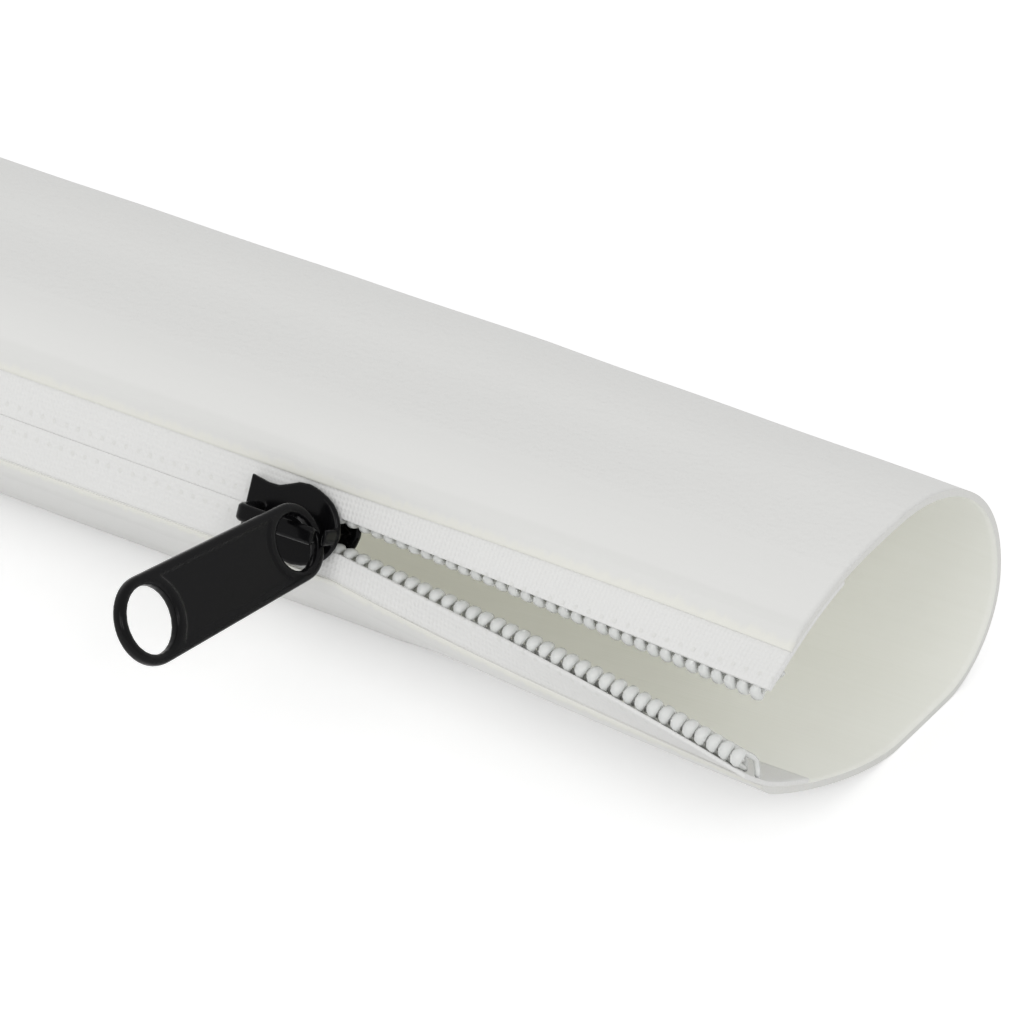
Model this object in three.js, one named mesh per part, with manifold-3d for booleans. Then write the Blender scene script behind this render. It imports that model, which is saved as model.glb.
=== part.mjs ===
// Zippered cable sleeve: a sheet of white leathercloth bent round into a tube,
// with a coil zip welded along its near side and the mouth of the tube unzipped.
// Millimetres. X runs along the sleeve to the open mouth, Y across it, Z up.
// The origin is the middle of the flat strip that the sleeve lies on.

import * as THREE from 'three';
import { mergeVertices } from 'three/addons/utils/BufferGeometryUtils.js';
import Module from 'manifold-3d';

// Sleeve, as it lies
const SLEEVE_LENGTH = 150;
const SLEEVE_WIDTH = 51;
const SLEEVE_HEIGHT = 31.4;
const SIDE_HEIGHT = 13;
const CREST_SHIFT = 2;
const FLAT_FAR = 14;
const FLAT_NEAR = -7;
const SHEET = 0.8;

// Where the zip lies on the closed tube, and how it leans
const SEAM_HEIGHT = 23;
const SEAM_INSET = 1.5;
const SEAM_LEAN = 64;

// The open mouth, where the lower lip has sagged and the upper one lies flatter
const MOUTH_SIDE_HEIGHT = 11;
const MOUTH_CREST_DROP = 0.5;
const MOUTH_FLAT_NEAR = 4;
const UPPER_LIP_RISE = 2;
const UPPER_LIP_REACH = 1.2;
const UPPER_LIP_LEAN = 24;
const LOWER_LIP_DROP = 8;
const LOWER_LIP_REACH = 6.1;
const LOWER_LIP_LEAN = 141;

// Roundness of the bends, as the pull on each end of a curve over its span
const ROUND = 0.39;
const UNDER_ROUND = 0.16;
const UNDER_LIP_ROUND = 0.08;
const MOUTH_UNDER_ROUND = 0.26;
const MOUTH_LIP_ROUND = 0.16;

// Zip tapes, their weld to the sheet, and the stitched coils
const TAPE_WIDTH = 16.2;
const TAPE = 0.5;
const TAPE_GAP = 0.4;
const TAPE_SHOWN = 4.9;
const WELD_FLANGE = 2.3;
const FLANGE_EDGE = 0.25;
const LAYER_GAP = 0.15;
const COIL_PITCH = 1.65;
const COIL_HEEL = 3;
const COIL_HEAD = 0.7;
const COIL_HEIGHT = 2.1;
const FILAMENT = 0.6;
const HEAD_WIDTH = 0.8;
const CORD_CLEARANCE = 0.12;

// Slider casting
const SLIDER_LENGTH = 12.4;
const SLIDER_TO_MOUTH = 54.9;
const REAR_WIDTH = 7.2;
const WAIST_WIDTH = 6.6;
const SHOULDER_WIDTH = 9.2;
const PLATE = 0.9;
const PLATE_EDGE = 0.25;
const INNER_PLATE_GROWTH = 0.4;
const TOP_CLEARANCE = 0.5;
const SLIDE_CLEARANCE = 0.3;
const FLANGE_LENGTH = 7;
const POST_LENGTH = 4;
const POST_WIDTH = 1.4;
const POST_TO_NOSE = 1;
const CHAIN_SPREAD = 1.9;
const PARTING_LENGTH = 5.6;
const STRAP_WIDTH = 2;
const STRAP = 1;
const STRAP_EDGE = 0.3;
const STRAP_RISE = 4.3;
const STRAP_REAR_INSET = 1.3;
const STRAP_LENGTH = 10.1;
const STRAP_CORNER = 1.5;
const STRAP_DIP = 0.5;
const NIB_SLOT = 0.25;
const NIB_LENGTH = 0.6;
const NIB_HEIGHT = 2.2;

// Pull tab, as it stands out from the slider
const PULL_CENTRES = 25;
const PULL_THICKNESS = 1.5;
const PULL_EDGE = 0.45;
const PULL_EDGE_WIDTH = 0.5;
const PULL_HOLE = 7.4;
const PULL_RIM = 1.2;
const RING_HOLE = 6.2;
const RING_BAND = 1.3;
const PANEL_RECESS = 0.15;
const PANEL_MARGIN = 1;
const PULL_DROOP = 18;
const PULL_SWING = 2.5;
const PULL_TWIST = 29.5;
const PIVOT_FROM_NOSE = 2.3;
const PIVOT_HEIGHT = 1.25;
const PIVOT_SIDE = 0.1;

// How finely the curves are cut
const WALL_STEPS = 40;
const WELD_STEPS = 4;
const MOUTH_STATIONS = 10;
const SLIDER_STATIONS = 5;
const HOLE_STEPS = 24;

const mouthX = SLEEVE_LENGTH / 2;
const closedX = -SLEEVE_LENGTH / 2;
const sliderX = mouthX - SLIDER_TO_MOUTH - SLIDER_LENGTH / 2;
const noseX = sliderX + SLIDER_LENGTH / 2;
const partedX = noseX - POST_TO_NOSE - POST_WIDTH;
const splitX = partedX - PARTING_LENGTH;
const coilTop = SHEET + LAYER_GAP + TAPE + LAYER_GAP;
const coilFloor = coilTop + COIL_HEIGHT;

const white = new THREE.MeshStandardMaterial({ color: 0xf0f1ee, roughness: 0.55, metalness: 0 });
const cotton = new THREE.MeshStandardMaterial({ color: 0xf4f4ee, roughness: 0.95, metalness: 0 });
const nylon = new THREE.MeshStandardMaterial({ color: 0xe6e9e4, roughness: 0.25, metalness: 0 });
const enamel = new THREE.MeshStandardMaterial({ color: 0x0b0b0d, roughness: 0.22, metalness: 0.3 });

const wasm = await Module();
wasm.setup();

const mix = THREE.MathUtils.lerp;
const ease = THREE.MathUtils.smoothstep;
const turn = (degrees) => {
  const angle = THREE.MathUtils.degToRad(degrees);
  return new THREE.Vector2(Math.cos(angle), Math.sin(angle));
};

// A closed mesh as a solid that can be joined and cut
function toSolid(geometry) {
  const plain = geometry.index ? geometry.toNonIndexed() : geometry.clone();
  plain.deleteAttribute('normal');
  plain.deleteAttribute('uv');
  const merged = mergeVertices(plain, 1e-5);
  const mesh = new wasm.Mesh({
    numProp: 3,
    vertProperties: new Float32Array(merged.attributes.position.array),
    triVerts: new Uint32Array(merged.index.array),
  });
  return new wasm.Manifold(mesh);
}

function toGeometry(solid) {
  const mesh = solid.getMesh();
  const geometry = new THREE.BufferGeometry();
  geometry.setAttribute('position', new THREE.BufferAttribute(mesh.vertProperties, 3));
  geometry.setIndex(new THREE.BufferAttribute(mesh.triVerts, 1));
  return geometry;
}

function namedMesh(name, geometry, material) {
  const mesh = new THREE.Mesh(geometry, material);
  mesh.name = name;
  return mesh;
}

// A closed skin through rings of points, with flat ends
function loft(rings, closeEnds) {
  const count = rings[0].length;
  const positions = rings.flat(2);
  const index = [];
  for (let i = 0; i + 1 < rings.length; i++) {
    for (let j = 0; j < count; j++) {
      const a = i * count + j;
      const b = i * count + ((j + 1) % count);
      index.push(a, b, b + count, a, b + count, a + count);
    }
  }
  closeEnds(index, count, (rings.length - 1) * count);
  const geometry = new THREE.BufferGeometry();
  geometry.setAttribute('position', new THREE.Float32BufferAttribute(positions, 3));
  geometry.setIndex(index);
  return geometry;
}

// Ends of a sheet: a ring runs along its outer face and back along its inner one
function closeSheetEnds(index, count, last) {
  for (let j = 0; j < count / 2 - 1; j++) {
    const back = count - 1 - j;
    index.push(j, back, back - 1, j, back - 1, j + 1);
    index.push(last + j, last + back - 1, last + back, last + j, last + j + 1, last + back - 1);
  }
}

// Ends of a filament: a fan over each ring
function closeFanEnds(index, count, last) {
  for (let j = 1; j + 1 < count; j++) {
    index.push(0, j + 1, j);
    index.push(last, last + j, last + j + 1);
  }
}

// How far the chain has parted at x, from 0 behind the slider's post to 1 beside it
const parting = (x) => ease(x, splitX, partedX);

// How far the tube has sagged open at x, from 0 at the slider's nose to 1 at the mouth
const opening = (x) => THREE.MathUtils.clamp((x - noseX) / (mouthX - noseX), 0, 1);

const seam = new THREE.Vector2(-SLEEVE_WIDTH / 2 + SEAM_INSET, SEAM_HEIGHT);

// The two lips of the zip at x: where each lies and which way its tape runs round the tube
function lips(x) {
  const open = opening(x);
  const upper = {
    at: new THREE.Vector2(-UPPER_LIP_REACH, UPPER_LIP_RISE).multiplyScalar(open).add(seam),
    along: turn(mix(SEAM_LEAN, UPPER_LIP_LEAN, open)),
  };
  const lower = {
    at: new THREE.Vector2(-LOWER_LIP_REACH, -LOWER_LIP_DROP).multiplyScalar(open).add(seam),
    along: turn(mix(SEAM_LEAN, LOWER_LIP_LEAN, open)),
  };
  return { upper, lower };
}

// How far each coil stands back from its lip at x, held apart by the slider's post
const spread = (x) => CHAIN_SPREAD * parting(x) * (1 - opening(x));

// A smooth bend from the path's end to a point, each with its direction
function bend(path, fromWay, to, toWay, fromRound = ROUND, toRound = ROUND) {
  const from = path.currentPoint;
  const span = from.distanceTo(to);
  const first = from.clone().addScaledVector(fromWay, fromRound * span);
  const second = to.clone().addScaledVector(toWay, -toRound * span);
  path.bezierCurveTo(first.x, first.y, second.x, second.y, to.x, to.y);
}

// The outer line of the wall at x, from the upper lip over the crest to the lower lip
function wallPath(x) {
  const open = opening(x);
  const { upper, lower } = lips(x);
  const crest = new THREE.Vector2(CREST_SHIFT, SLEEVE_HEIGHT - MOUTH_CREST_DROP * open);
  const side = new THREE.Vector2(SLEEVE_WIDTH / 2, mix(SIDE_HEIGHT, MOUTH_SIDE_HEIGHT, open));
  const flatFar = new THREE.Vector2(FLAT_FAR, 0);
  const upperBend = upper.at.clone().addScaledVector(upper.along, TAPE_SHOWN);
  const lowerBend = lower.at.clone().addScaledVector(lower.along, -TAPE_SHOWN);
  const underRound = mix(UNDER_ROUND, MOUTH_UNDER_ROUND, open);
  const lipRound = mix(UNDER_LIP_ROUND, MOUTH_LIP_ROUND, open);
  const over = new THREE.Vector2(1, 0);
  const down = new THREE.Vector2(0, -1);
  const back = new THREE.Vector2(-1, 0);
  const path = new THREE.Path();
  path.moveTo(upper.at.x, upper.at.y);
  path.lineTo(upperBend.x, upperBend.y);
  bend(path, upper.along, crest, over);
  bend(path, over, side, down);
  bend(path, down, flatFar, back);
  path.lineTo(mix(FLAT_NEAR, MOUTH_FLAT_NEAR, open), 0);
  bend(path, back, lowerBend, lower.along, underRound, lipRound);
  path.lineTo(lower.at.x, lower.at.y);
  return path;
}

// Points along part of the wall at x, each given as a distance from a lip and a depth
function wallRing(x, path, marks) {
  const length = path.getLength();
  const point = new THREE.Vector2();
  const along = new THREE.Vector2();
  return marks.map(({ fromUpper, fromLower, share, depth }) => {
    let s = fromUpper;
    if (fromLower !== undefined) s = length - fromLower;
    if (share !== undefined) s = mix(fromUpper, length - fromLower, share);
    path.getPointAt(s / length, point);
    path.getTangentAt(s / length, along);
    return [x, point.x + along.y * depth, point.y - along.x * depth];
  });
}

// Places along the sleeve where its section is cut
function stations() {
  const xs = [closedX, splitX];
  for (let i = 1; i <= SLIDER_STATIONS; i++) xs.push(mix(splitX, partedX, i / SLIDER_STATIONS));
  xs.push(noseX);
  for (let i = 1; i <= MOUTH_STATIONS; i++) xs.push(mix(noseX, mouthX, i / MOUTH_STATIONS));
  return xs;
}

// The jacket, thinned to a welded flange along both edges of the zip
function jacket() {
  const outer = [];
  const inner = [];
  for (let i = 0; i <= WALL_STEPS; i++) {
    const ends = { fromUpper: TAPE_SHOWN + WELD_FLANGE, fromLower: TAPE_SHOWN + WELD_FLANGE };
    outer.push({ ...ends, share: i / WALL_STEPS, depth: 0 });
    inner.push({ ...ends, share: i / WALL_STEPS, depth: SHEET });
  }
  const edge = SHEET - FLANGE_EDGE;
  outer.unshift({ fromUpper: TAPE_SHOWN, depth: edge });
  inner.unshift({ fromUpper: TAPE_SHOWN, depth: SHEET });
  outer.push({ fromLower: TAPE_SHOWN, depth: edge });
  inner.push({ fromLower: TAPE_SHOWN, depth: SHEET });
  const marks = [...inner, ...outer.reverse()];
  const rings = stations().map((x) => wallRing(x, wallPath(x), marks));
  return namedMesh('jacket', loft(rings, closeSheetEnds), white);
}

// One zip tape, under the jacket's edge and bare beside the chain
function tape(name, side) {
  const weldStart = TAPE_SHOWN + WELD_FLANGE;
  const distances = [TAPE_SHOWN, weldStart];
  for (let i = 1; i <= WELD_STEPS; i++) distances.push(mix(weldStart, TAPE_WIDTH, i / WELD_STEPS));
  const ringAt = (x) => {
    const outer = [];
    const inner = [];
    for (const s of [TAPE_GAP / 2 + spread(x), ...distances]) {
      outer.push({ [side]: s, depth: SHEET + LAYER_GAP });
      inner.push({ [side]: s, depth: SHEET + LAYER_GAP + TAPE });
    }
    const marks = [...outer, ...inner.reverse()];
    return side === 'fromUpper' ? marks.reverse() : marks;
  };
  const rings = stations().map((x) => wallRing(x, wallPath(x), ringAt(x)));
  return namedMesh(name, loft(rings, closeSheetEnds), cotton);
}

// A point under a lip: across is measured from the coil's middle line towards the tape
function underLip(x, side, across, depth) {
  const { at, along } = lips(x)[side];
  const reach = (side === 'upper' ? 1 : -1) * (across + spread(x));
  const y = at.x + along.x * reach + along.y * depth;
  const z = at.y + along.y * reach - along.x * depth;
  return new THREE.Vector3(x, y, z);
}

// One turn of the coil: out along the upper leg, round the head and back along the lower
function coilTurn(x) {
  const half = FILAMENT / 2;
  const top = coilTop + half;
  const floor = coilFloor - half;
  const head = half - COIL_HEAD;
  const heel = COIL_HEEL - half;
  const shoulder = head + FILAMENT;
  return [
    { x, across: heel, depth: top, wide: FILAMENT },
    { x, across: shoulder, depth: top, wide: FILAMENT },
    { x, across: head, depth: (top + floor) / 2, wide: HEAD_WIDTH },
    { x, across: shoulder, depth: floor, wide: FILAMENT },
    { x: x + COIL_PITCH / 3, across: heel, depth: floor, wide: FILAMENT },
  ];
}

// A coil of one filament, stitched under its tape's edge, its heads reaching past the middle
function coil(name, side, phase) {
  const turns = Math.floor((SLEEVE_LENGTH - 2 * COIL_PITCH) / COIL_PITCH);
  const start = closedX + COIL_PITCH * (0.5 + phase);
  const knots = [];
  for (let i = 0; i < turns; i++) knots.push(...coilTurn(start + i * COIL_PITCH));
  const points = knots.map((k) => underLip(k.x, side, k.across, k.depth));
  const along = new THREE.Vector3(1, 0, 0);
  const rings = points.map((point, i) => {
    const before = points[Math.max(i - 1, 0)];
    const after = points[Math.min(i + 1, points.length - 1)];
    const way = after.clone().sub(before).normalize();
    const out = new THREE.Vector3().crossVectors(way, along).normalize();
    const wide = new THREE.Vector3().crossVectors(out, way).normalize();
    const corners = [[1, 1], [-1, 1], [-1, -1], [1, -1]];
    return corners.map(([a, b]) => point.clone()
      .addScaledVector(wide, a * knots[i].wide / 2)
      .addScaledVector(out, b * FILAMENT / 2)
      .toArray());
  });
  return namedMesh(name, loft(rings, closeFanEnds), nylon);
}

// The filler cord inside a coil, flat oval in section
function coreCord(name, side) {
  const thick = COIL_HEIGHT - 2 * FILAMENT - 2 * CORD_CLEARANCE;
  const depth = (coilTop + coilFloor) / 2;
  const room = COIL_HEEL - FILAMENT - COIL_HEAD;
  const across = COIL_HEAD + room / 2;
  const width = room - 2 * CORD_CLEARANCE;
  const corners = [[0, 1], [1, 0.4], [1, -0.4], [0, -1], [-1, -0.4], [-1, 0.4]];
  const order = side === 'upper' ? corners : corners.slice().reverse();
  const inset = COIL_PITCH;
  const xs = stations().map((x) => THREE.MathUtils.clamp(x, closedX + inset, mouthX - inset));
  const rings = xs.map((x) => order.map(([a, b]) => {
    const place = underLip(x, side, across + a * width / 2, depth + b * thick / 2);
    return place.toArray();
  }));
  return namedMesh(name, loft(rings, closeFanEnds), cotton);
}

// Slider frame: x along the chain to the mouth, y across it, z out of the tube,
// with z = 0 at the jacket's outer face
const tail = -SLIDER_LENGTH / 2;
const nose = SLIDER_LENGTH / 2;
const plateFloor = TOP_CLEARANCE - SHEET - LAYER_GAP;
const plateTop = plateFloor + PLATE;
const innerTop = -coilFloor - SLIDE_CLEARANCE;
const flangeTop = -coilTop + LAYER_GAP - SLIDE_CLEARANCE;
const strapTail = tail + STRAP_REAR_INSET;
const strapEnd = strapTail + STRAP_LENGTH;

// A slider plate's outline: square tail, waist, wide shoulder and round nose
function plateShape(grow) {
  const half = new THREE.SplineCurve([
    new THREE.Vector2(tail, REAR_WIDTH / 2 + grow),
    new THREE.Vector2(mix(tail, nose, 0.26), WAIST_WIDTH / 2 + grow),
    new THREE.Vector2(mix(tail, nose, 0.54), SHOULDER_WIDTH / 2 + grow),
    new THREE.Vector2(mix(tail, nose, 0.82), SHOULDER_WIDTH * 0.4 + grow),
    new THREE.Vector2(mix(tail, nose, 0.96), SHOULDER_WIDTH * 0.2),
    new THREE.Vector2(nose, 0),
  ]).getPoints(14);
  const mirrored = half.slice(0, -1).reverse().map((p) => new THREE.Vector2(p.x, -p.y));
  return new THREE.Shape([...half, ...mirrored]);
}

// A shape as a solid standing on z, with its edges softened
function softSolid(shape, z, height, edge) {
  const geometry = new THREE.ExtrudeGeometry(shape, {
    depth: height - 2 * edge,
    bevelThickness: edge,
    bevelSize: edge,
    bevelOffset: -edge,
    bevelSegments: 1,
    curveSegments: 4,
  });
  geometry.translate(0, 0, z + edge);
  return toSolid(geometry);
}

function squareSolid(shape, z, height) {
  const geometry = new THREE.ExtrudeGeometry(shape, { depth: height, bevelEnabled: false, curveSegments: 4 });
  geometry.translate(0, 0, z);
  return toSolid(geometry);
}

// The space that the chain needs: as wide as the coils, parting round the post
function channelShape() {
  const half = [];
  for (const x of [tail - 1, splitX - sliderX, 0, mix(0, nose, 0.3), partedX - sliderX, nose + 1]) {
    const across = COIL_HEEL + SLIDE_CLEARANCE + CHAIN_SPREAD * parting(x + sliderX);
    half.push(new THREE.Vector2(x, across));
  }
  const mirrored = half.slice().reverse().map((p) => new THREE.Vector2(p.x, -p.y));
  return new THREE.Shape([...half, ...mirrored]);
}

// The two side flanges that hold the coils in, left standing round the channel
function flanges() {
  const height = flangeTop - innerTop + PLATE / 2;
  const rails = squareSolid(plateShape(INNER_PLATE_GROWTH), innerTop - PLATE / 2, height);
  const channel = squareSolid(channelShape(), innerTop - PLATE, 2 * height);
  const reach = new THREE.Shape();
  reach.moveTo(tail + FLANGE_LENGTH, -SHOULDER_WIDTH);
  reach.lineTo(nose + 1, -SHOULDER_WIDTH);
  reach.lineTo(nose + 1, SHOULDER_WIDTH);
  reach.lineTo(tail + FLANGE_LENGTH, SHOULDER_WIDTH);
  const front = squareSolid(reach, innerTop - PLATE, 2 * height);
  return rails.subtract(channel).subtract(front);
}

// The diamond post that joins the plates and parts the chain
function post() {
  const front = nose - POST_TO_NOSE;
  const shape = new THREE.Shape();
  shape.moveTo(front, 0);
  shape.lineTo(front - POST_WIDTH, POST_WIDTH / 2);
  shape.lineTo(front - POST_LENGTH, 0);
  shape.lineTo(front - POST_WIDTH, -POST_WIDTH / 2);
  const foot = innerTop - PLATE / 2;
  return squareSolid(shape, foot, plateTop - PLATE / 2 - foot);
}

// The crown strap, seen from the side: up from the tail, forward and slightly down
function strap() {
  const foot = plateTop - PLATE / 2;
  const top = plateTop + STRAP_RISE;
  const dipStart = mix(strapTail, strapEnd, 0.5);
  const shape = new THREE.Shape();
  shape.moveTo(strapTail, foot);
  shape.lineTo(strapTail + STRAP_CORNER, foot);
  shape.quadraticCurveTo(strapTail + STRAP, top - STRAP, strapTail + STRAP + STRAP_CORNER, top - STRAP);
  shape.quadraticCurveTo(dipStart, top - STRAP, strapEnd, top - STRAP - STRAP_DIP);
  shape.lineTo(strapEnd, top - STRAP_DIP);
  shape.quadraticCurveTo(dipStart, top, strapTail + STRAP_CORNER, top);
  shape.quadraticCurveTo(strapTail, top, strapTail, top - STRAP_CORNER);
  const geometry = new THREE.ExtrudeGeometry(shape, {
    depth: STRAP_WIDTH - 2 * STRAP_EDGE,
    bevelThickness: STRAP_EDGE,
    bevelSize: STRAP_EDGE,
    bevelOffset: -STRAP_EDGE,
    bevelSegments: 1,
    curveSegments: 6,
  });
  geometry.rotateX(Math.PI / 2);
  geometry.translate(0, STRAP_WIDTH / 2 - STRAP_EDGE, 0);
  return toSolid(geometry);
}

// The nib in front of the strap's free end, which keeps the pull's ring on
function nib() {
  const geometry = new THREE.CylinderGeometry(NIB_LENGTH / 2, NIB_LENGTH / 2, NIB_HEIGHT + PLATE / 2, 10);
  geometry.rotateX(Math.PI / 2);
  geometry.scale(1, STRAP_WIDTH / NIB_LENGTH, 1);
  const z = plateTop + (NIB_HEIGHT - PLATE / 2) / 2;
  geometry.translate(strapEnd + NIB_SLOT + NIB_LENGTH / 2, 0, z);
  return toSolid(geometry);
}

function sliderBody() {
  const solid = softSolid(plateShape(0), plateFloor, PLATE, PLATE_EDGE)
    .add(softSolid(plateShape(INNER_PLATE_GROWTH), innerTop - PLATE, PLATE, PLATE_EDGE))
    .add(flanges())
    .add(post())
    .add(strap())
    .add(nib());
  return namedMesh('slider_body', toGeometry(solid), enamel);
}

// Pull frame: the hinge line at the origin, the tab's length along z, its faces along x
const ringCentre = (RING_HOLE + RING_BAND) / 2;
const ringRadius = RING_HOLE / 2 + RING_BAND;
const endRadius = PULL_HOLE / 2 + PULL_RIM;

// The outline round the ring and the hole: two arcs and the straight edges between them
function tabShape(inset) {
  const far = ringCentre + PULL_CENTRES;
  const lean = Math.asin((endRadius - ringRadius) / PULL_CENTRES);
  const shape = new THREE.Shape();
  shape.absarc(ringCentre, 0, ringRadius - inset, Math.PI / 2 + lean, 1.5 * Math.PI - lean, false);
  shape.absarc(far, 0, endRadius - inset, -Math.PI / 2 - lean, Math.PI / 2 + lean, false);
  return shape;
}

function circlePoints(x, radius) {
  const points = [];
  for (let i = 0; i < HOLE_STEPS; i++) {
    const angle = 2 * Math.PI * i / HOLE_STEPS;
    points.push(new THREE.Vector2(x + radius * Math.cos(angle), radius * Math.sin(angle)));
  }
  return points;
}

// A panel sunk in the tab's face between the ring and the rim of the hole
function panelSolid(z) {
  const shape = tabShape(PANEL_MARGIN);
  const depth = 2 * PANEL_RECESS;
  const far = ringCentre + PULL_CENTRES;
  const ring = squareSolid(new THREE.Shape(circlePoints(ringCentre, ringRadius)), z - depth, 2 * depth);
  const rim = squareSolid(new THREE.Shape(circlePoints(far, endRadius)), z - depth, 2 * depth);
  return squareSolid(shape, z - depth / 2, depth).subtract(ring).subtract(rim);
}

function pullTab() {
  const shape = tabShape(0);
  shape.holes.push(new THREE.Path(circlePoints(ringCentre, RING_HOLE / 2)));
  shape.holes.push(new THREE.Path(circlePoints(ringCentre + PULL_CENTRES, PULL_HOLE / 2)));
  const geometry = new THREE.ExtrudeGeometry(shape, {
    depth: PULL_THICKNESS - 2 * PULL_EDGE,
    bevelThickness: PULL_EDGE,
    bevelSize: PULL_EDGE_WIDTH,
    bevelOffset: -PULL_EDGE_WIDTH,
    bevelSegments: 2,
    curveSegments: HOLE_STEPS / 2,
  });
  geometry.translate(0, 0, PULL_EDGE - PULL_THICKNESS / 2);
  const solid = toSolid(geometry)
    .subtract(panelSolid(PULL_THICKNESS / 2))
    .subtract(panelSolid(-PULL_THICKNESS / 2));
  const stood = toGeometry(solid);
  stood.rotateY(-Math.PI / 2);
  return namedMesh('pull_tab', stood, enamel);
}

// The pull hangs from its hinge line: twisted in the loose ring, drooping and swung back
function hungPull() {
  const twisted = new THREE.Group();
  twisted.rotation.z = THREE.MathUtils.degToRad(PULL_TWIST);
  twisted.add(pullTab());
  const drooped = new THREE.Group();
  drooped.rotation.x = THREE.MathUtils.degToRad(PULL_DROOP);
  drooped.add(twisted);
  const hung = new THREE.Group();
  hung.rotation.y = THREE.MathUtils.degToRad(-PULL_SWING);
  hung.position.set(nose - PIVOT_FROM_NOSE, PIVOT_SIDE, plateTop + PIVOT_HEIGHT);
  hung.add(drooped);
  return hung;
}

const slider = new THREE.Group();
slider.position.set(sliderX, seam.x, seam.y);
slider.rotation.x = THREE.MathUtils.degToRad(SEAM_LEAN);
slider.add(sliderBody(), hungPull());

const sleeve = new THREE.Group();
sleeve.add(
  jacket(),
  tape('upper_tape', 'fromUpper'),
  tape('lower_tape', 'fromLower'),
  coil('upper_coil', 'upper', 0),
  coil('lower_coil', 'lower', 0.5),
  coreCord('upper_core_cord', 'upper'),
  coreCord('lower_core_cord', 'lower'),
  slider,
);

export default sleeve;
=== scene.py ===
import math

import bmesh
import bpy
import numpy as np
from mathutils import Matrix, Vector


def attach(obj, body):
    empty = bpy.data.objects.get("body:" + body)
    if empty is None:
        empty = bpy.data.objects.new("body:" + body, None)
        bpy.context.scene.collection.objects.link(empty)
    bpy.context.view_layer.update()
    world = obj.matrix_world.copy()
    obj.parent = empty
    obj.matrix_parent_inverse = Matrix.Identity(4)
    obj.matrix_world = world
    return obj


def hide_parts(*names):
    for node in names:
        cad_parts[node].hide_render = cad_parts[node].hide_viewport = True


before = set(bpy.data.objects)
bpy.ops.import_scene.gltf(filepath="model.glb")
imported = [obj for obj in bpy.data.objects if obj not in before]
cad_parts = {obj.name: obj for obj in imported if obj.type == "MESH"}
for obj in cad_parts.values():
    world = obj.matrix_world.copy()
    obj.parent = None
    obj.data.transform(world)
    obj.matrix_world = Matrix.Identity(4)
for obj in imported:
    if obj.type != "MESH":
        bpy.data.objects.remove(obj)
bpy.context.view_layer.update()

MM = 0.001

# The jacket: one sheet of white grained leathercloth, cut square and bent round into a tube.
# Along both edges of the zip it is pressed thin and welded to the zip's tapes, so the grain is
# ironed flat there and the very edge has melted.

# The section, in mm. A pair holds the value where the zip is closed and the one at the mouth.
LENGTH = 150.0
WIDTH = 51.0
HEIGHT = 31.4
SHEET = 0.8
SIDE_HEIGHT = (13.0, 11.0)
CREST_SHIFT = 2.0
CREST_DROP = 0.5
FLAT_FAR = 14.0
FLAT_NEAR = (-7.0, 4.0)
SEAM = np.array((-24.0, 23.0))
SEAM_LEAN = 64.0
UPPER_SHIFT = np.array((-1.2, 2.0))
UPPER_LEAN = 24.0
LOWER_SHIFT = np.array((-6.1, -8.0))
LOWER_LEAN = 141.0
ROUND = 0.39
UNDER_ROUND = (0.16, 0.26)
LIP_ROUND = (0.08, 0.16)
TAPE_SHOWN = 4.9
WELD_FLANGE = 2.3
FLANGE_EDGE = 0.25
FLANGE_SLOPE = 0.65
EDGE_ROUND = 0.1
EDGE_DROP = 0.09
EDGE_PLACES = np.array((0.0, 0.08, 0.3, 0.8, 1.4, 2.0))

# Where the zip parts, along x.
SLIDER_LENGTH = 12.4
NOSE_TO_PARTING = 2.4
PARTING_LENGTH = 5.6
CHAIN_SPREAD = 1.9
MOUTH_X = LENGTH / 2
SLIDER_X = 13.9
NOSE_X = SLIDER_X + SLIDER_LENGTH / 2
PARTED_X = NOSE_X - NOSE_TO_PARTING
SPLIT_X = PARTED_X - PARTING_LENGTH

# How finely the wall is drawn.
LINE_POINTS = 30
BEND_POINTS = 160
PROBE = 0.15
WALL_STEP = 0.9
WALL_POINTS = 130

# The waves of the wall, and how flat the part that rests is.
LONG_WAVE = 0.06
SHORT_WAVE = 0.03
WAVE_START = 3.0
WAVE_FADE = 8.0
REST_PLACE = 0.52
REST_REACH = 0.12
REST_WAVE = 0.15

# The finishes of a sheet, and how far from the lip the face changes, in mm.
FACE, BACK, CUT = 0, 1, 2
WELD_FADE = (15.5, 16.8)
# The next bounds the strip of painted shade on the sloping weld flange.
FLANGE_SHADE_FADE = (8.0, 8.8)
MELT_FADE = (6.0, 7.0)
MELT_WANDER = 1.4


def mix(pair, t):
    return pair[0] + (pair[1] - pair[0]) * t


def ease(x, low, high):
    t = min(max((x - low) / (high - low), 0.0), 1.0)
    return t * t * (3 - 2 * t)


def opening(x):
    """How far the tube has sagged open at x: 0 at the slider's nose, 1 at the mouth."""
    return min(max((x - NOSE_X) / (MOUTH_X - NOSE_X), 0.0), 1.0)


def turn(degrees):
    angle = math.radians(degrees)
    return np.array((math.cos(angle), math.sin(angle)))


def lips(x):
    """Both lips of the zip at x: (place, direction round the tube) for the upper and the lower."""
    t = opening(x)
    upper = (SEAM + UPPER_SHIFT * t, turn(mix((SEAM_LEAN, UPPER_LEAN), t)))
    lower = (SEAM + LOWER_SHIFT * t, turn(mix((SEAM_LEAN, LOWER_LEAN), t)))
    return upper, lower


def spread(x):
    """How far the slider's post holds each coil back from its lip at x."""
    return CHAIN_SPREAD * ease(x, SPLIT_X, PARTED_X) * (1 - opening(x))


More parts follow.
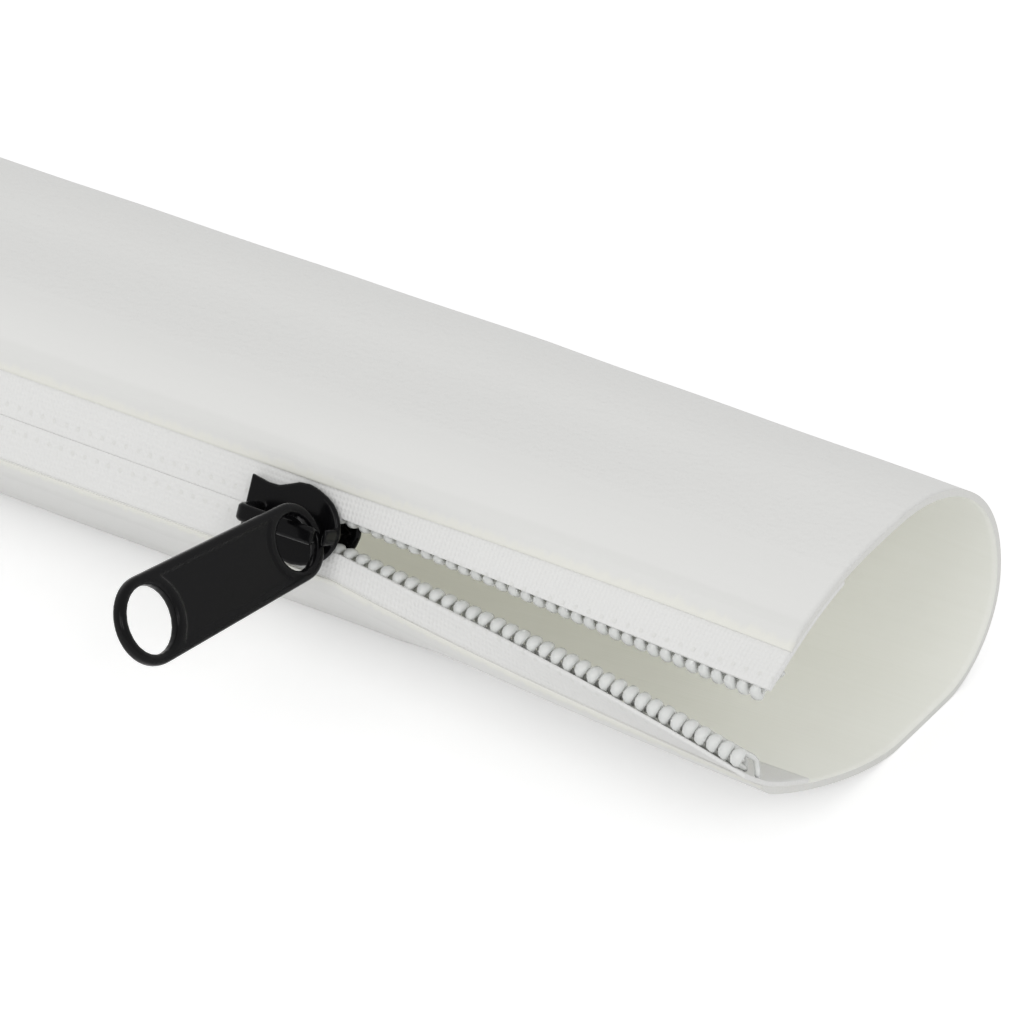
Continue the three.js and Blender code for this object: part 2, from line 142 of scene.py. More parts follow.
class Section:
    """The wall's outer line at one x, read by the distance from the upper lip."""

    def __init__(self, x):
        t = opening(x)
        (upper, upper_way), (lower, lower_way) = lips(x)
        crest = np.array((CREST_SHIFT, HEIGHT - CREST_DROP * t))
        side = np.array((WIDTH / 2, mix(SIDE_HEIGHT, t)))
        points = [upper[None]]

        def line(to):
            start = points[-1][-1]
            points.append(start + (to - start) * np.linspace(0, 1, LINE_POINTS)[1:, None])

        def bend(way, to, to_way, near=ROUND, far=ROUND):
            start = points[-1][-1]
            span = np.linalg.norm(to - start)
            a = start + way * near * span
            b = to - to_way * far * span
            s = np.linspace(0, 1, BEND_POINTS)[1:, None]
            r = 1 - s
            points.append(r**3 * start + 3 * s * r**2 * a + 3 * s**2 * r * b + s**3 * to)

        over = np.array((1.0, 0))
        down = np.array((0, -1.0))
        back = np.array((-1.0, 0))
        line(upper + upper_way * TAPE_SHOWN)
        bend(upper_way, crest, over)
        bend(over, side, down)
        bend(down, np.array((FLAT_FAR, 0.0)), back)
        line(np.array((mix(FLAT_NEAR, t), 0.0)))
        flange = lower - lower_way * TAPE_SHOWN
        bend(back, flange, lower_way, mix(UNDER_ROUND, t), mix(LIP_ROUND, t))
        line(lower)
        self.x = x
        self.path = np.concatenate(points)
        steps = np.linalg.norm(np.diff(self.path, axis=0), axis=1)
        self.run = np.concatenate(([0.0], np.cumsum(steps)))
        self.length = self.run[-1]

    def at(self, s, depth):
        """Points at distances s along the wall, each sunk by its depth below the outer face."""
        depth = np.asarray(depth, float)
        way = self.on_path(s + PROBE) - self.on_path(s - PROBE)
        way /= np.linalg.norm(way, axis=-1, keepdims=True)
        inward = np.stack((way[..., 1], -way[..., 0]), axis=-1)
        flat = self.on_path(s) + inward * depth[..., None]
        return np.column_stack((np.full(len(flat), self.x), flat))

    def on_path(self, s):
        return np.stack([np.interp(s, self.run, self.path[:, k]) for k in (0, 1)], axis=-1)


def stations(step):
    """Places along the sleeve, closer together where the zip parts."""
    xs = list(np.arange(-MOUTH_X, SPLIT_X, step * 2))
    xs += list(np.arange(SPLIT_X, NOSE_X, step / 2))
    xs += list(np.linspace(NOSE_X, MOUTH_X, int((MOUTH_X - NOSE_X) / step) + 1))
    return xs


def ring_quads(sides, steps):
    """The faces of a tube of rings, each ring of so many points."""
    for i in range(steps):
        near, far = i * sides, (i + 1) * sides
        for k in range(sides):
            m = (k + 1) % sides
            yield near + k, near + m, far + m, far + k


def link(name, data):
    piece = bpy.data.objects.new(name, data)
    bpy.context.collection.objects.link(piece)
    return piece


def sheet_mesh(name, rings, finishes, face_finish):
    """A closed sheet from rings that run along its outer face and back along its inner one.
    Each ring is (points, distances); the distances and x become the map of the cloth, in metres."""
    count = len(rings[0][0])
    half = count // 2
    points = np.concatenate([points for points, _ in rings]) * MM
    distances = np.concatenate([distances for _, distances in rings]) * MM
    faces, kinds = [], []
    for i in range(len(rings) - 1):
        for j in range(count):
            k = (j + 1) % count
            faces.append((i * count + j, (i + 1) * count + j, (i + 1) * count + k, i * count + k))
            kinds.append(face_finish(j))
    last = (len(rings) - 1) * count
    for j in range(half - 1):
        back = count - 1 - j
        faces.append((j, j + 1, back - 1, back))
        faces.append((last + j, last + back, last + back - 1, last + j + 1))
        kinds += [CUT, CUT]
    mesh = bpy.data.meshes.new(name)
    mesh.from_pydata(points.tolist(), [], faces)
    layer = mesh.uv_layers.new(name="cloth")
    for loop in mesh.loops:
        layer.data[loop.index].uv = (points[loop.vertex_index][0], distances[loop.vertex_index])
    for finish in finishes:
        mesh.materials.append(finish)
    mesh.polygons.foreach_set("material_index", kinds)
    mesh.polygons.foreach_set("use_smooth", [kind != CUT for kind in kinds])
    mesh.update()
    return link(name, mesh)


class Signal:
    """A socket in a finish's tree, so that a pattern can be written as arithmetic."""

    def __init__(self, finish, socket):
        self.finish = finish
        self.socket = socket

    def math(self, operation, a, b=0.0):
        return self.finish.node("ShaderNodeMath", {"operation": operation}, {0: a, 1: b})

    def __add__(self, other):
        return self.math("ADD", self, other)

    def __radd__(self, other):
        return self.math("ADD", other, self)

    def __sub__(self, other):
        return self.math("SUBTRACT", self, other)

    def __rsub__(self, other):
        return self.math("SUBTRACT", other, self)

    def __mul__(self, other):
        return self.math("MULTIPLY", self, other)

    def __truediv__(self, other):
        return self.math("DIVIDE", self, other)


class Finish:
    """A material and its node tree."""

    def __init__(self, name, **constants):
        self.material = bpy.data.materials.new(name)
        self.material.use_nodes = True
        self.tree = self.material.node_tree
        self.surface = self.tree.nodes["Principled BSDF"]
        for socket, value in constants.items():
            self.surface.inputs[socket.replace("_", " ")].default_value = value

    def node(self, kind, settings=None, inputs=None, output=0):
        made = self.tree.nodes.new(kind)
        for key, value in (settings or {}).items():
            setattr(made, key, value)
        for key, value in (inputs or {}).items():
            if isinstance(value, Signal):
                self.tree.links.new(value.socket, made.inputs[key])
            else:
                made.inputs[key].default_value = value
        return Signal(self, made.outputs[output])

    def feed(self, socket, signal):
        self.tree.links.new(signal.socket, self.surface.inputs[socket])

    def cloth_map(self):
        """The map of the cloth in metres, and its two ways: x along the sleeve, s from the lip."""
        both = self.node("ShaderNodeUVMap", {"uv_map": "cloth"})
        x = self.node("ShaderNodeSeparateXYZ", None, {0: both}, 0)
        s = self.node("ShaderNodeSeparateXYZ", None, {0: both}, 1)
        return both, x, s

    def stretched(self, vector, scale):
        return self.node("ShaderNodeMapping", None, {"Vector": vector, "Scale": scale})

    def noise(self, vector, scale, detail=3.0, roughness=0.5):
        inputs = {"Vector": vector, "Scale": scale, "Detail": detail, "Roughness": roughness}
        return self.node("ShaderNodeTexNoise", {"noise_dimensions": "3D"}, inputs)

    def step(self, value, low, high):
        """0 below low, 1 above high, smooth between."""
        settings = {"interpolation_type": "SMOOTHSTEP"}
        inputs = {"Value": value, "From Min": low, "From Max": high}
        return self.node("ShaderNodeMapRange", settings, inputs)

    def within(self, s, fade):
        """1 nearer to the zip than the fade, given in mm, and 0 beyond it."""
        return 1 - self.step(s, fade[0] * MM, fade[1] * MM)

    def wave(self, angle):
        return self.node("ShaderNodeMath", {"operation": "SINE"}, {0: angle})

    def place(self):
        return self.node("ShaderNodeTexCoord", None, None, "Object")

    def blend(self, amount, a, b):
        """Colour a, turning to b where the amount is 1."""
        settings = {"data_type": "RGBA", "blend_type": "MIX"}
        a, b = (c if isinstance(c, Signal) else (*c, 1) for c in (a, b))
        return self.node("ShaderNodeMix", settings, {0: amount, 6: a, 7: b}, 2)

    def relief(self, height, distance, strength=1.0, under=None):
        inputs = {"Height": height, "Distance": distance, "Strength": strength}
        if under:
            inputs["Normal"] = under
        return self.node("ShaderNodeBump", None, inputs)


def leathercloth_face():
    """White PVC face with a fine pebble grain, ironed smooth over the welded tape."""
    finish = Finish("leathercloth_face", Roughness=0.46, IOR=1.5)
    both, _, s = finish.cloth_map()
    welded = finish.within(s, WELD_FADE)
    wander = finish.noise(both, 26.0, 3.0)
    edge_wave = finish.noise(finish.stretched(both, (900.0, 60.0, 1.0)), 1.0, 2.0)
    melted = finish.within(s + edge_wave * (MELT_WANDER * MM), MELT_FADE)
    # Mask of the painted shade on the weld flange, which slopes away from the light.
    flange = finish.within(s, FLANGE_SHADE_FADE)
    cells = {"Vector": both, "Scale": 1500.0, "Smoothness": 0.6}
    pebbles = finish.node("ShaderNodeTexVoronoi", {"feature": "SMOOTH_F1"}, cells, "Distance")
    creases = finish.noise(finish.stretched(both, (1.0, 1.7, 1.0)), 420.0, 4.0, 0.6)
    fine = finish.noise(both, 2600.0, 2.0)
    grain = (pebbles * 0.55 + creases * 0.8 + fine * 0.25) * (1 - welded * 0.85)
    ironed = finish.noise(finish.stretched(both, (60.0, 700.0, 1.0)), 1.0, 3.0)
    tint = finish.blend(wander * 0.5, (0.795, 0.795, 0.778), (0.822, 0.822, 0.806))
    # The weld flange is painted darker: painted shade for the strip that slopes away from the light.
    tint = finish.blend(flange * 0.6, tint, (0.755, 0.757, 0.738))
    tint = finish.blend(melted * 0.7, tint, (0.83, 0.825, 0.755))
    finish.feed("Base Color", tint)
    finish.feed("Roughness", 0.42 + creases * 0.12 - welded * 0.06 + melted * 0.15)
    grained = finish.relief(grain, 0.15 * MM, 0.7)
    pressed = ironed * welded + edge_wave * melted * 2.0
    finish.feed("Normal", finish.relief(pressed, 0.08 * MM, 0.6, grained))
    return finish.material


def leathercloth_back():
    """The knitted backing inside, with fine lines that run along the sleeve. The weak glow stands
    for the daylight that comes through the white cloth."""
    glow = {"Emission_Color": (1.0, 0.97, 0.82, 1), "Emission_Strength": 0.10}
    finish = Finish("leathercloth_back", Roughness=0.8, IOR=1.45, **glow)
    both, _, _ = finish.cloth_map()
    lines = finish.noise(finish.stretched(both, (16.0, 1500.0, 1.0)), 1.0, 3.0)
    slubs = finish.noise(finish.stretched(both, (90.0, 900.0, 1.0)), 1.0, 2.0)
    cloud = finish.noise(both, 60.0, 2.0)
    # The backing's white is set a little paler than the face's: partly its own colour, partly painted light
    # for the light the inside of the tube lacks.
    tint = finish.blend(lines * 0.6 + cloud * 0.4, (0.80, 0.81, 0.775), (0.86, 0.87, 0.845))
    finish.feed("Base Color", tint)
    finish.feed("Roughness", 0.7 + slubs * 0.2)
    finish.feed("Normal", finish.relief(lines + slubs * 0.6, 0.07 * MM, 0.45))
    return finish.material


def leathercloth_cut():
    """The raw cut edge: a thin white face on a paler foam."""
    finish = Finish("leathercloth_cut", Roughness=0.7)
    crumbs = finish.noise(finish.place(), 3000.0, 3.0)
    finish.feed("Base Color", finish.blend(crumbs, (0.70, 0.70, 0.67), (0.80, 0.80, 0.78)))
    finish.feed("Normal", finish.relief(crumbs, 0.06 * MM, 0.5))
    return finish.material


def rolled(x, s):
    """The slow waves that a rolled sheet keeps, in mm."""
    long_wave = LONG_WAVE * np.sin(x / 9.0 + s / 13.0) * np.sin(s / 21.0 + 0.6)
    short_wave = SHORT_WAVE * np.sin(x / 4.1 - s / 7.3 + 1.1)
    return long_wave + short_wave


def jacket_rings():
    """Rings of the jacket's section, thinned toward both welded edges and flat where it rests."""
    rings = []
    for x in stations(WALL_STEP):
        section = Section(x)
        start, end = TAPE_SHOWN, section.length - TAPE_SHOWN
        wall = np.linspace(start + WELD_FLANGE, end - WELD_FLANGE, WALL_POINTS)
        s = np.concatenate((start + EDGE_PLACES, wall, end - EDGE_PLACES[::-1]))
        from_edge = np.minimum(s - start, end - s)
        slope = np.clip(1 - from_edge / WELD_FLANGE, 0, 1)
        slope = slope * slope * (3 - 2 * slope) * (1 - FLANGE_SLOPE) + slope * FLANGE_SLOPE
        face = (SHEET - FLANGE_EDGE) * slope
        face += EDGE_DROP * np.clip(1 - from_edge / EDGE_ROUND, 0, 1)
        at_rest = np.abs(s / section.length - REST_PLACE) < REST_REACH
        wave = rolled(x, s) * np.clip((from_edge - WAVE_START) / WAVE_FADE, 0, 1)
        wave *= np.where(at_rest, REST_WAVE, 1.0)
        outer = section.at(s, face + wave)
        inner = section.at(s, SHEET + wave)
        from_lip = np.minimum(s, section.length - s)
        points = np.concatenate((outer, inner[::-1]))
        rings.append((points, np.concatenate((from_lip, from_lip[::-1]))))
    return rings


rings = jacket_rings()
ring_half = len(rings[0][0]) // 2


def jacket_side(j):
    """Which finish the strip of faces after point j of each ring has."""
    if j < ring_half - 1:
        return FACE
    return BACK if ring_half <= j < 2 * ring_half - 1 else CUT


jacket_finishes = (leathercloth_face(), leathercloth_back(), leathercloth_cut())
jacket = sheet_mesh("jacket_sheet", rings, jacket_finishes, jacket_side)
wall_lengths = [Section(x).length - 2 * TAPE_SHOWN for x in (-MOUTH_X, NOSE_X, MOUTH_X)]
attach(jacket, "sleeve")
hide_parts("jacket")


# The zip's two tapes: close knitted white polyester, 16 mm wide, of which a few millimetres
# show beside the chain. Each is welded under the jacket's edge for the rest of its width.

TAPE = 0.5
TAPE_WIDTH = 16.2
TAPE_GAP = 0.03
TAPE_STEP = 0.7
TAPE_POINTS = 26
TAPE_EDGE_PLACES = np.array((0.0, 0.07, 0.22, 0.5, 1.0))
TAPE_BODY = 1.6
TAPE_EDGE_ROUND = 0.22
TAPE_EDGE_DROP = 0.08
LAYER_GAP = 0.03
PITCH = 1.65
STITCH_PLACE = 1.35
STITCH_LENGTH = 0.45
WALE = 0.62
COURSE = 0.5


def tape_weave():
    """White knit: wales along the tape, courses across it, and a pit at each stitch of the coil."""
    finish = Finish("tape_weave", Roughness=0.9, IOR=1.45)
    both, x, s = finish.cloth_map()
    tilt = finish.noise(both, 300.0, 2.0)
    wales = finish.wave(s * (2 * math.pi / (WALE * MM)) + tilt * 2.5)
    courses = finish.wave(x * (2 * math.pi / (COURSE * MM)) + wales * 0.7)
    fuzz = finish.noise(both, 2400.0, 3.0, 0.65)
    turn_share = finish.node("ShaderNodeMath", {"operation": "FRACT"}, {0: x / (PITCH * MM) + 100.25})
    along = turn_share - 0.5
    across = (s - STITCH_PLACE * MM) / (STITCH_LENGTH * MM)
    pits = 1 - finish.step(along * along * 16.0 + across * across, 0.12, 0.6)
    height = wales * 0.2 + courses * 0.25 + fuzz * 0.9 - pits * 0.8
    cloud = finish.noise(both, 90.0, 2.0)
    tint = finish.blend(fuzz * 0.7 + cloud * 0.3, (0.78, 0.78, 0.765), (0.85, 0.85, 0.84))
    # The stitch pits are also painted darker: painted shade in the hollows.
    finish.feed("Base Color", finish.blend(pits * 0.3, tint, (0.70, 0.70, 0.66)))
    finish.feed("Roughness", 0.82 + fuzz * 0.15)
    finish.feed("Normal", finish.relief(height, 0.09 * MM, 0.6))
    return finish.material


def tape_rings(side):
    """Rings of one tape's section, from its edge at the chain to the end of its weld."""
    rings = []
    for x in stations(TAPE_STEP):
        section = Section(x)
        edge = TAPE_GAP / 2 + spread(x)
        s = np.concatenate((edge + TAPE_EDGE_PLACES, np.linspace(edge + TAPE_BODY, TAPE_WIDTH, TAPE_POINTS)))
        drop = TAPE_EDGE_DROP * np.clip(1 - (s - edge) / TAPE_EDGE_ROUND, 0, 1) ** 2
        along = s if side == "upper" else section.length - s
        first = section.at(along, SHEET + LAYER_GAP + drop)
        second = section.at(along, SHEET + LAYER_GAP + TAPE - drop)
        if side == "lower":
            first, second = second, first
        rings.append((np.concatenate((first, second[::-1])), np.concatenate((s, s[::-1]))))
    return rings


weave = tape_weave()
for side in ("upper", "lower"):
    tape = sheet_mesh(f"{side}_tape_weave", tape_rings(side), (weave, weave, weave), lambda j: FACE)
    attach(tape, "sleeve")
    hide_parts(f"{side}_tape")


# The coils: each is one clear nylon filament wound into a flat coil, its heads pressed wide
# so that they lock with the other's. The coils lie under the tapes, because the zip is inside out.

FILAMENT = 0.66
HEEL = 3.0
HEAD = 0.7
HEAD_WIDTH = 1.5
HEAD_THICKNESS = 0.95
COIL_TOP = SHEET + LAYER_GAP + TAPE + LAYER_GAP
COIL_HEIGHT = 2.1
COIL_SIDES = 10
PATH_STEP = 0.8


def nylon():
    """Clear nylon, slightly milky, drawn smooth."""
    finish = Finish("clear_nylon", IOR=1.53, Transmission_Weight=0.25)
    milk = finish.noise(finish.place(), 700.0, 2.0)
    finish.feed("Base Color", finish.blend(milk, (0.87, 0.885, 0.865), (0.94, 0.95, 0.935)))
    finish.feed("Roughness", 0.12 + milk * 0.12)
    return finish.material


def coil_turn(name):
    """One turn, along x by a pitch: over the top leg, round the head, back along the lower leg."""
    half = FILAMENT / 2
    top, floor = COIL_TOP + half, COIL_TOP + COIL_HEIGHT - half
    middle = (top + floor) / 2
    heel, head = HEEL - half, half - HEAD
    wide, thick = HEAD_WIDTH / FILAMENT, HEAD_THICKNESS / FILAMENT
    # Each knot: along the chain, across the tape, depth, and the shares of width and thickness.
    knots = (
        (0.0, heel, top, 1.0, 1.0), (0.0, heel - 0.5, top, 1.0, 1.0), (0.0, head + 1.1, top, 1.0, 1.0),
        (0.0, head + 0.62, top, 1.5, 1.1), (0.0, head + 0.2, top + 0.12, wide * 0.86, thick * 0.95),
        (0.0, head, middle - 0.3, wide, thick), (0.0, head, middle + 0.3, wide, thick),
        (0.0, head + 0.2, floor - 0.12, wide * 0.86, thick * 0.95), (0.0, head + 0.62, floor, 1.5, 1.1),
        (0.0, head + 1.1, floor, 1.0, 1.0), (PITCH * 0.25, heel - 0.5, floor, 1.0, 1.0),
        (PITCH * 0.38, heel, floor - 0.15, 1.0, 1.0), (PITCH * 0.8, heel + 0.1, middle - 0.2, 0.95, 0.95),
        (PITCH, heel, top, 1.0, 1.0),
    )
    points = [Vector((x, across, -depth)) for x, across, depth, _, _ in knots]
    verts = []
    for i, point in enumerate(points):
        before = points[i - 1] if i else points[-2] - Vector((PITCH, 0, 0))
        after = points[i + 1] if i + 1 < len(points) else points[1] + Vector((PITCH, 0, 0))
        way = (after - before).normalized()
        out = way.cross(Vector((1, 0, 0))).normalized()
        side = out.cross(way).normalized()
        _, _, _, widen, thicken = knots[i]
        for k in range(COIL_SIDES):
            angle = 2 * math.pi * (k + 0.5) / COIL_SIDES
            beside = side * (half * widen * math.cos(angle))
            verts.append(point + beside + out * (half * thicken * math.sin(angle)))
    faces = list(ring_quads(COIL_SIDES, len(points) - 1))
    faces.append(tuple(reversed(range(COIL_SIDES))))
    faces.append(tuple(range(len(verts) - COIL_SIDES, len(verts))))
    mesh = bpy.data.meshes.new(name)
    mesh.from_pydata([v * MM for v in verts], [], faces)
    return link(name, mesh)


def lip_path(name, side, start, end):
    """A line along a lip, which carries the direction across the tape."""
    xs = np.arange(start, end + PATH_STEP, PATH_STEP)
    verts, across = [], []
    for x in xs:
        place, way = lips(x)[0 if side == "upper" else 1]
        sign = 1 if side == "upper" else -1
        flat = place + way * sign * spread(x)
        verts.append((x * MM, flat[0] * MM, flat[1] * MM))
        across.append((0.0, way[0] * sign, way[1] * sign))
    mesh = bpy.data.meshes.new(name)
    mesh.from_pydata(verts, [(i, i + 1) for i in range(len(verts) - 1)], [])
    directions = mesh.attributes.new("across", "FLOAT_VECTOR", "POINT")
    directions.data.foreach_set("vector", np.ravel(across))
    return link(name, mesh)


class Pattern:
    """A Geometry Nodes tree with named inputs."""

    def __init__(self, name, inputs):
        self.tree = bpy.data.node_groups.new(name, "GeometryNodeTree")
        self.tree.interface.new_socket("Geometry", in_out="INPUT", socket_type="NodeSocketGeometry")
        self.tree.interface.new_socket("Geometry", in_out="OUTPUT", socket_type="NodeSocketGeometry")
        self.keys = {}
        for label, kind in inputs.items():
            socket = self.tree.interface.new_socket(label, in_out="INPUT", socket_type=kind)
            self.keys[label] = socket.identifier
        self.inputs = self.tree.nodes.new("NodeGroupInput").outputs

    def node(self, kind, settings=None, inputs=None, output=0):
        made = self.tree.nodes.new(kind)
        for key, value in (settings or {}).items():
            setattr(made, key, value)
        for key, value in (inputs or {}).items():
            if isinstance(value, bpy.types.NodeSocket):
                self.tree.links.new(value, made.inputs[key])
            else:
                made.inputs[key].default_value = value
        return made.outputs[output]

    def end(self, geometry, finish):
        """Closes the tree: the copies become one smooth mesh with the finish."""
        plain = self.node("GeometryNodeRealizeInstances", None, {0: geometry})
        smooth = self.node("GeometryNodeSetShadeSmooth", None, {0: plain})
        coated = self.node("GeometryNodeSetMaterial", None, {0: smooth, "Material": finish})
        out = self.tree.nodes.new("NodeGroupOutput")
        self.tree.links.new(coated, out.inputs[0])

    def grow(self, piece, **values):
        """Runs the tree on the piece and keeps its result as a plain mesh."""
        modifier = piece.modifiers.new("grow", "NODES")
        modifier.node_group = self.tree
        for label, value in values.items():
            modifier[self.keys[label]] = value
        bpy.context.view_layer.update()
        graph = bpy.context.evaluated_depsgraph_get()
        result = piece.evaluated_get(graph)
        grown = bpy.data.meshes.new_from_object(result, preserve_all_data_layers=True, depsgraph=graph)
        piece.modifiers.clear()
        piece.data = grown
        return piece


def repeat_tree(name, finish):
    """Sets a small object again and again along a line, square to the tape."""
    pattern = Pattern(name, {"Spacing": "NodeSocketFloat", "Item": "NodeSocketObject"})
    curve = pattern.node("GeometryNodeMeshToCurve", None, {0: pattern.inputs["Geometry"]})
    even = pattern.node("GeometryNodeResampleCurve", {"mode": "LENGTH"},
                        {"Curve": curve, "Length": pattern.inputs["Spacing"]})
    item = pattern.node("GeometryNodeObjectInfo", None, {"Object": pattern.inputs["Item"]}, "Geometry")
    tangent = pattern.node("GeometryNodeInputTangent")
    named = {"data_type": "FLOAT_VECTOR"}
    across = pattern.node("GeometryNodeInputNamedAttribute", named, {"Name": "across"})
    facing = pattern.node("FunctionNodeAlignRotationToVector", {"axis": "X"}, {"Vector": tangent})
    facing = pattern.node("FunctionNodeAlignRotationToVector", {"axis": "Y", "pivot_axis": "X"},
                        {"Rotation": facing, "Vector": across})
    placed = {"Points": even, "Instance": item, "Rotation": facing}
    set_out = pattern.node("GeometryNodeInstanceOnPoints", None, placed)
    pattern.end(set_out, finish)
    return pattern


clear_nylon = nylon()
coil_tree = repeat_tree("coil_turns", clear_nylon)
turn_piece = coil_turn("coil_turn")
mirrored_turn = coil_turn("coil_turn_mirrored")
for vertex in mirrored_turn.data.vertices:
    vertex.co.z = -vertex.co.z
mirrored_turn.data.flip_normals()
for side, phase, item in (("upper", 0.5, turn_piece), ("lower", 1.0, mirrored_turn)):
    coil = lip_path(f"{side}_coil_turns", side, -MOUTH_X + PITCH * phase, MOUTH_X - PITCH * 1.2)
    coil_tree.grow(coil, Spacing=PITCH * MM, Item=item)
    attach(coil, "sleeve")
    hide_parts(f"{side}_coil")
bpy.data.objects.remove(turn_piece)
bpy.data.objects.remove(mirrored_turn)


# The filler cords: a soft twisted cord runs through each coil and packs it out, so that the
# sewing thread can hold the coil to its tape.

CORD_THICK = 0.62
CORD_WIDE = 1.4
CORD_PLACE = 1.55
CORD_STEP = 0.9
CORD_SIDES = 10


def cord_yarn():
    """Spun white yarn, with the slant of its twist."""
    finish = Finish("cord_yarn", Roughness=0.9)
    bands = {"wave_type": "BANDS", "bands_direction": "DIAGONAL"}
    twisted = {"Vector": finish.place(), "Scale": 420.0, "Distortion": 0.6}
    twist = finish.node("ShaderNodeTexWave", bands, twisted, "Fac")
    finish.feed("Base Color", finish.blend(twist, (0.74, 0.74, 0.72), (0.86, 0.86, 0.85)))
    finish.feed("Normal", finish.relief(twist, 0.08 * MM, 0.7))
    return finish.material


def cord_mesh(name, side, finish):
    """A flat-sided cord through the middle of one coil."""
    depth = COIL_TOP + COIL_HEIGHT / 2
    sign = 1 if side == "upper" else -1
    xs = np.arange(-MOUTH_X + PITCH, MOUTH_X - PITCH + 0.01, CORD_STEP)
    verts = []
    for x in xs:
        place, way = lips(x)[0 if side == "upper" else 1]
        inward = np.array((way[1], -way[0]))
        centre = place + way * sign * (spread(x) + CORD_PLACE) + inward * depth
        for k in range(CORD_SIDES):
            angle = 2 * math.pi * k / CORD_SIDES
            beside = way * (CORD_WIDE / 2 * math.cos(angle))
            flat = centre + beside + inward * (CORD_THICK / 2 * math.sin(angle))
            verts.append((x * MM, flat[0] * MM, flat[1] * MM))
    faces = list(ring_quads(CORD_SIDES, len(xs) - 1))
    faces.append(tuple(range(CORD_SIDES)))
    faces.append(tuple(reversed(range(len(verts) - CORD_SIDES, len(verts)))))
    mesh = bpy.data.meshes.new(name)
    mesh.from_pydata(verts, [], faces)
    mesh.materials.append(finish)
    mesh.polygons.foreach_set("use_smooth", [True] * len(mesh.polygons))
    skin = bmesh.new()
    skin.from_mesh(mesh)
    bmesh.ops.recalc_face_normals(skin, faces=skin.faces)
    skin.to_mesh(mesh)
    skin.free()
    return link(name, mesh)


yarn = cord_yarn()
for side in ("upper", "lower"):
    filler = cord_mesh(f"{side}_filler_cord", side, yarn)
    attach(filler, "sleeve")
    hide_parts(f"{side}_core_cord")


# The slider: a zinc casting in gloss black enamel. Two plates joined by a post hold the chain,
# and a strap over the outer plate keeps the pull's ring.

SLIDER_GRAIN = 0.11
PULL_GRAIN = 0.13
EDGE_PASSES = 7


def black_enamel():
    """Gloss black stoving enamel, with a slight orange peel."""
    finish = Finish("black_enamel", IOR=1.24)
    place = finish.place()
    peel = finish.noise(place, 900.0, 2.0)
    dust = finish.noise(place, 3500.0, 2.0)
    finish.feed("Base Color", finish.blend(dust, (0.0022, 0.0022, 0.0025), (0.0042, 0.0042, 0.0048)))
    finish.feed("Roughness", 0.13 + peel * 0.1)
    finish.feed("Normal", finish.relief(peel, 0.01 * MM, 0.3))
    return finish.material


def casting(name, solid, grain, finish):
    """The solid with the soft edges of a casting under enamel: remeshed finely, in mm, and smoothed."""
    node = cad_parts[solid]
    mesh = node.data.copy()
    mesh.transform(node.matrix_world)
    mesh.transform(Matrix.Scale(1 / MM, 4))
    piece = link(name, mesh)
    remesh = piece.modifiers.new("skin", "REMESH")
    remesh.mode = "VOXEL"
    remesh.voxel_size = grain
    soften = piece.modifiers.new("soften", "SMOOTH")
    soften.factor = 0.5
    soften.iterations = EDGE_PASSES
    bpy.context.view_layer.update()
    graph = bpy.context.evaluated_depsgraph_get()
    cast = bpy.data.meshes.new_from_object(piece.evaluated_get(graph), depsgraph=graph)
    piece.modifiers.clear()
    piece.data = cast
    cast.transform(Matrix.Scale(MM, 4))
    cast.materials.clear()
    cast.materials.append(finish)
    cast.polygons.foreach_set("material_index", [0] * len(cast.polygons))
    cast.polygons.foreach_set("use_smooth", [True] * len(cast.polygons))
    return piece


enamel = black_enamel()
castings = (
    ("slider_casting", "slider_body", "slider", SLIDER_GRAIN),
    ("pull_casting", "pull_tab", "pull", PULL_GRAIN),
)
for name, solid, body, grain in castings:
    piece = casting(name, solid, grain, enamel)
    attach(piece, body)
    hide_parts(solid)


# The stand: a plain white table under an even white surround, two softboxes, and a camera at the
# photo's angle. None of it belongs to the object.

TABLE_REACH = 3
TABLE_LIFT = 0.34
TABLE_SHEEN = 0.2
SURROUND_LIGHT = 0.74
SURROUND_SEEN = 1.0

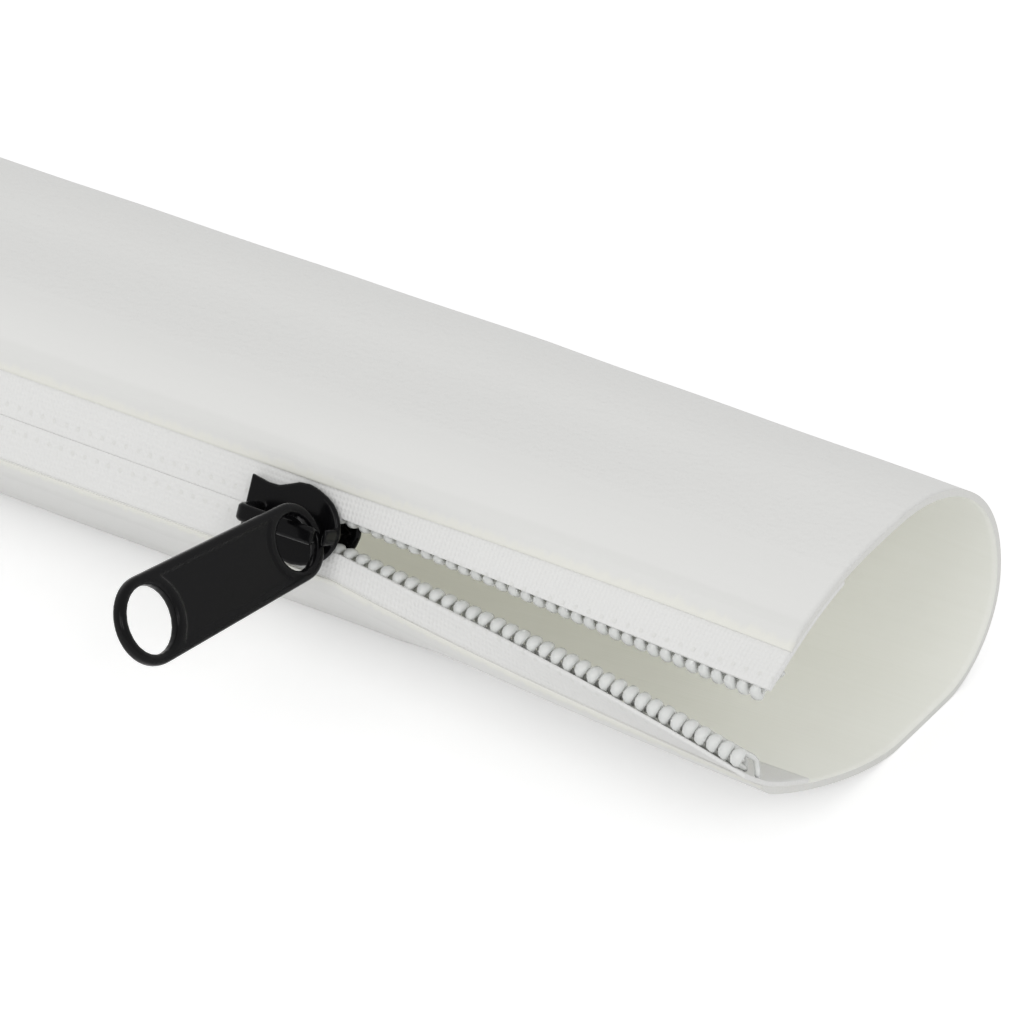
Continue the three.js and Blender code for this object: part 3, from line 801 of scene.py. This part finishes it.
signs = ((-1, -1), (1, -1), (1, 1), (-1, 1))
corners = [(TABLE_REACH * a, TABLE_REACH * b, 0) for a, b in signs]
table = bpy.data.meshes.new("table_top")
table.from_pydata(corners, [], [(0, 1, 2, 3)])
floor = link("table_top", table)
paper = Finish("white_paper", Base_Color=(0.9, 0.9, 0.9, 1), Roughness=0.9, Emission_Strength=1.0)
seen = paper.node("ShaderNodeLightPath", None, None, "Is Camera Ray")
glossy = paper.node("ShaderNodeLightPath", None, None, "Is Glossy Ray")
through = paper.node("ShaderNodeLightPath", None, None, "Is Transmission Ray")
lift = seen * TABLE_LIFT + glossy * TABLE_SHEEN + through * TABLE_SHEEN
paper.feed("Emission Color", paper.node("ShaderNodeCombineXYZ", None, {0: lift, 1: lift, 2: lift}))
table.materials.append(paper.material)

world = bpy.data.worlds.new("studio")
bpy.context.scene.world = world
world.use_nodes = True
tree = world.node_tree
backdrop = tree.nodes["Background"]
backdrop.inputs["Color"].default_value = (1, 1, 1, 1)
rays = tree.nodes.new("ShaderNodeLightPath")
level = tree.nodes.new("ShaderNodeMapRange")
level.inputs["To Min"].default_value = SURROUND_LIGHT
level.inputs["To Max"].default_value = SURROUND_SEEN
tree.links.new(rays.outputs["Is Camera Ray"], level.inputs["Value"])
tree.links.new(level.outputs["Result"], backdrop.inputs["Strength"])


def softbox(name, place, aim, side, power):
    lamp = bpy.data.lights.new(name, "AREA")
    lamp.size = side
    lamp.energy = power
    holder = link(name, lamp)
    holder.location = place
    holder.rotation_euler = (Vector(aim) - Vector(place)).to_track_quat("-Z", "Y").to_euler()


softbox("key_softbox", (0.05, -0.85, 0.62), (0.02, 0, 0.01), 0.5, 1.4)
softbox("mouth_softbox", (0.62, -0.42, 0.62), (0.04, 0, 0.015), 0.24, 0.8)

FRAME_PIXELS = 1024
FOCAL_PIXELS = 6000
SENSOR_WIDTH = 36
VIEW_AZIMUTH = math.radians(33.13)
VIEW_ELEVATION = math.radians(32.74)
VIEW_DISTANCE = 0.660
VIEW_CENTRE = Vector((30.65, -5.92, 20.38)) * MM

camera = bpy.data.cameras.new("camera")
camera.sensor_width = SENSOR_WIDTH
camera.lens = SENSOR_WIDTH * FOCAL_PIXELS / FRAME_PIXELS
camera.clip_start, camera.clip_end = 0.05, 20
eye = link("camera", camera)
out = math.cos(VIEW_ELEVATION)
back = Vector((math.sin(VIEW_AZIMUTH) * out, -math.cos(VIEW_AZIMUTH) * out, math.sin(VIEW_ELEVATION)))
eye.location = VIEW_CENTRE + back * VIEW_DISTANCE
eye.rotation_mode = "QUATERNION"
eye.rotation_quaternion = (-back).to_track_quat("-Z", "Y")
bpy.context.scene.camera = eye
bpy.context.scene.view_settings.view_transform = "Standard"
